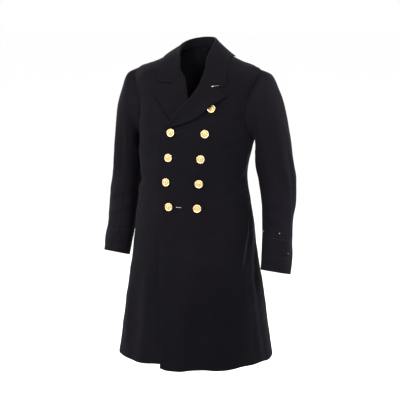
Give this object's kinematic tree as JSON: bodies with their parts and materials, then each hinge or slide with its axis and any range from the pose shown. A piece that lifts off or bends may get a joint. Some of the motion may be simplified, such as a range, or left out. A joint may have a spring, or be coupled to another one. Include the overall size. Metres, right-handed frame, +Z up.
{
  "type": "sailor coat",
  "caption": "Knee-length double-breasted sailor coat in its worn, hanging form, with turned-down collar, wide lapels, long sleeves and columns of gilt buttons, open at neck, cuffs and hem",
  "frame": {"origin": "midway between the points where the two shoulder seams meet the neck, where a wearer's shoulders carry the coat", "axes": "+Z up along the hanging coat, the wearer faces -Y, and the wearer's left is +X"},
  "size_m": [0.6099, 0.329, 1.0115],
  "materials": {
    "dark_wool": "heavy fulled wool broadcloth, near black with a slight blue cast, matt",
    "gilt_brass": "gilt, satin, with a darker raised device"
  },
  "bodies": {
    "root": {"left_forepart": "dark_wool", "right_forepart": "dark_wool", "left_sidebody": "dark_wool", "right_sidebody": "dark_wool", "left_back": "dark_wool", "right_back": "dark_wool", "left_skirt": "dark_wool", "right_skirt": "dark_wool", "left_lapel": "dark_wool", "right_lapel": "dark_wool", "collar": "dark_wool", "left_top_sleeve": "dark_wool", "right_top_sleeve": "dark_wool", "left_under_sleeve": "dark_wool", "right_under_sleeve": "dark_wool", "button_left_1": "gilt_brass", "button_left_2": "gilt_brass", "button_left_3": "gilt_brass", "button_left_4": "gilt_brass", "button_left_5": "gilt_brass", "button_right_1": "gilt_brass", "button_right_2": "gilt_brass", "button_right_3": "gilt_brass", "button_right_4": "gilt_brass"}
  },
  "joints": []
}
